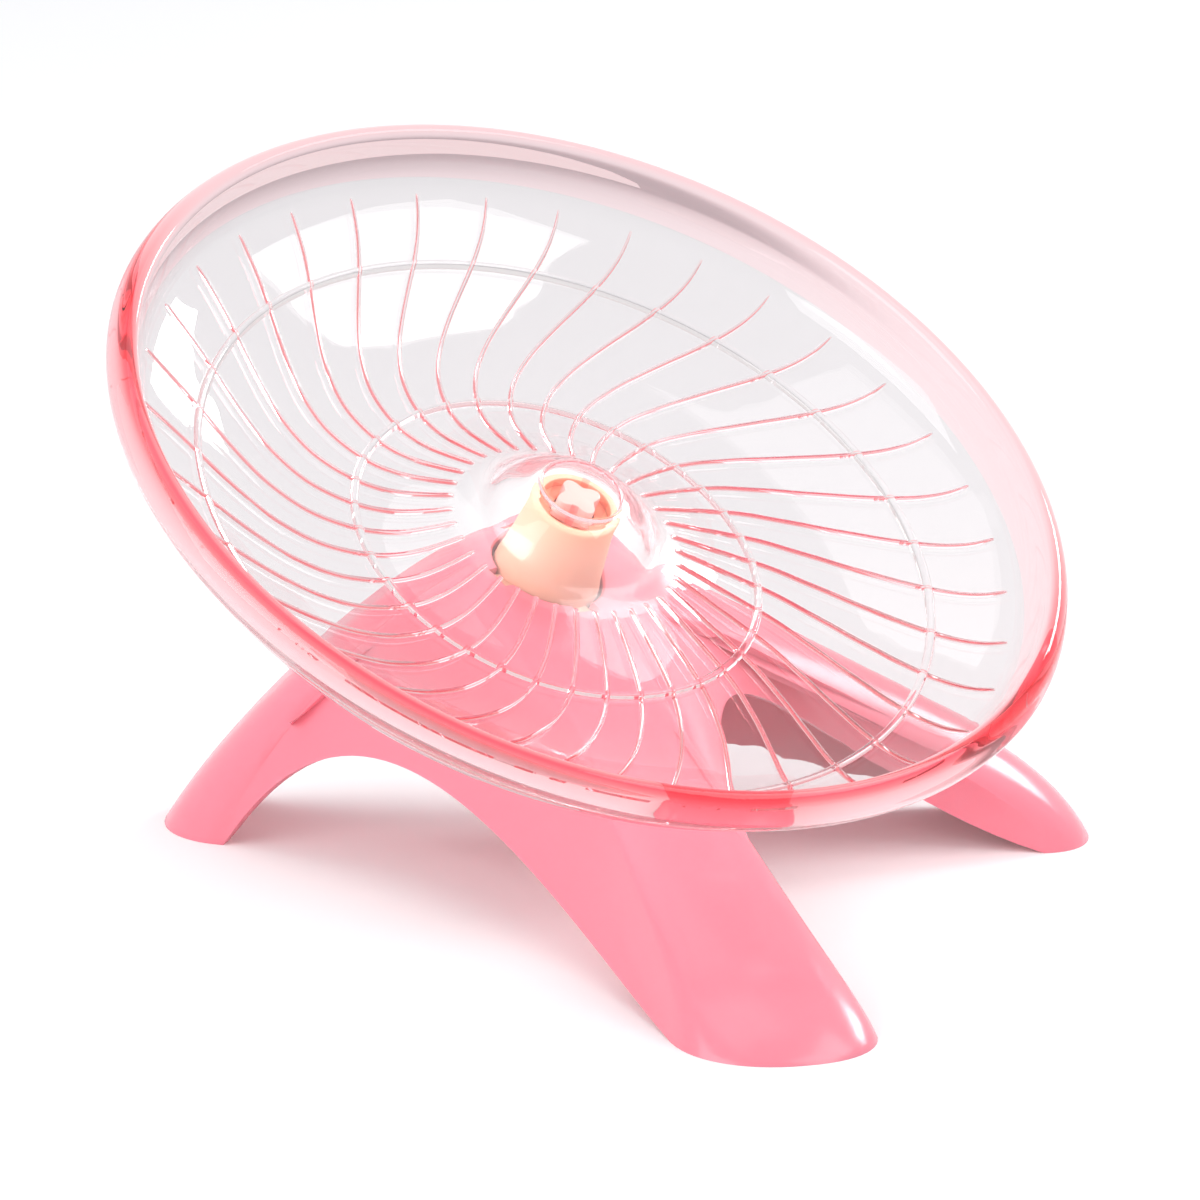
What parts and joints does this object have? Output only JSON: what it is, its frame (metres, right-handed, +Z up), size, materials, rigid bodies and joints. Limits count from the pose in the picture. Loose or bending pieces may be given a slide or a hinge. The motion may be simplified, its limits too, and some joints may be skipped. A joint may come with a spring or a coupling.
{
  "type": "pet running saucer",
  "caption": "Clear ribbed saucer with a rounded lip that spins on a leaning axle above a glossy pink stand with arched legs; a running wheel for a hamster.",
  "frame": {"origin": "centre of the bounding box's bottom face, on the ground under the part", "axes": "+Z up, square to the ground the feet stand on; the saucer's axis leans from +Z towards -Y; +X to the right when the low side of the saucer is seen from the front"},
  "size_m": [0.1972, 0.1776, 0.1244],
  "materials": {
    "clear_plastic": "polished clear plastic with a faint pink tint",
    "pink_plastic": "glossy moulded plastic",
    "peach_plastic": "satin moulded plastic",
    "coral_plastic": "satin moulded plastic",
    "bearing_steel": "ground steel",
    "brass": "plain brass"
  },
  "bodies": {
    "stand": {"stand": "pink_plastic", "bearing_housing": "peach_plastic", "housing_cap": "peach_plastic", "upper_outer_race": "bearing_steel", "lower_outer_race": "bearing_steel"},
    "saucer": {"saucer": "clear_plastic", "drive_dog": "coral_plastic", "axle": "bearing_steel", "bearing_spacer": "brass", "thrust_washer": "brass", "retaining_clip": "bearing_steel", "upper_inner_race": "bearing_steel", "lower_inner_race": "bearing_steel"},
    "upper_cage": {"upper_ball_cage": "brass", "upper_ball_1": "bearing_steel", "upper_ball_2": "bearing_steel", "upper_ball_3": "bearing_steel", "upper_ball_4": "bearing_steel", "upper_ball_5": "bearing_steel", "upper_ball_6": "bearing_steel", "upper_ball_7": "bearing_steel"},
    "lower_cage": {"lower_ball_cage": "brass", "lower_ball_1": "bearing_steel", "lower_ball_2": "bearing_steel", "lower_ball_3": "bearing_steel", "lower_ball_4": "bearing_steel", "lower_ball_5": "bearing_steel", "lower_ball_6": "bearing_steel", "lower_ball_7": "bearing_steel"}
  },
  "joints": [
    {"name": "saucer_spin", "type": "hinge", "parent": "stand", "child": "saucer", "pos_m": [-0.00867, 0.00944, 0.07902], "axis": [0, -0.4787, 0.878], "continuous": true},
    {"name": "upper_cage_spin", "type": "hinge", "parent": "stand", "child": "upper_cage", "pos_m": [-0.00867, 0.00944, 0.07902], "axis": [0, -0.4787, 0.878], "continuous": true},
    {"name": "lower_cage_spin", "type": "hinge", "parent": "stand", "child": "lower_cage", "pos_m": [-0.00867, 0.00944, 0.07902], "axis": [0, -0.4787, 0.878], "continuous": true}
  ],
  "couplings": [
    {"joint": "upper_cage_spin", "follows": "saucer_spin", "ratio": 0.4},
    {"joint": "lower_cage_spin", "follows": "saucer_spin", "ratio": 0.4}
  ]
}
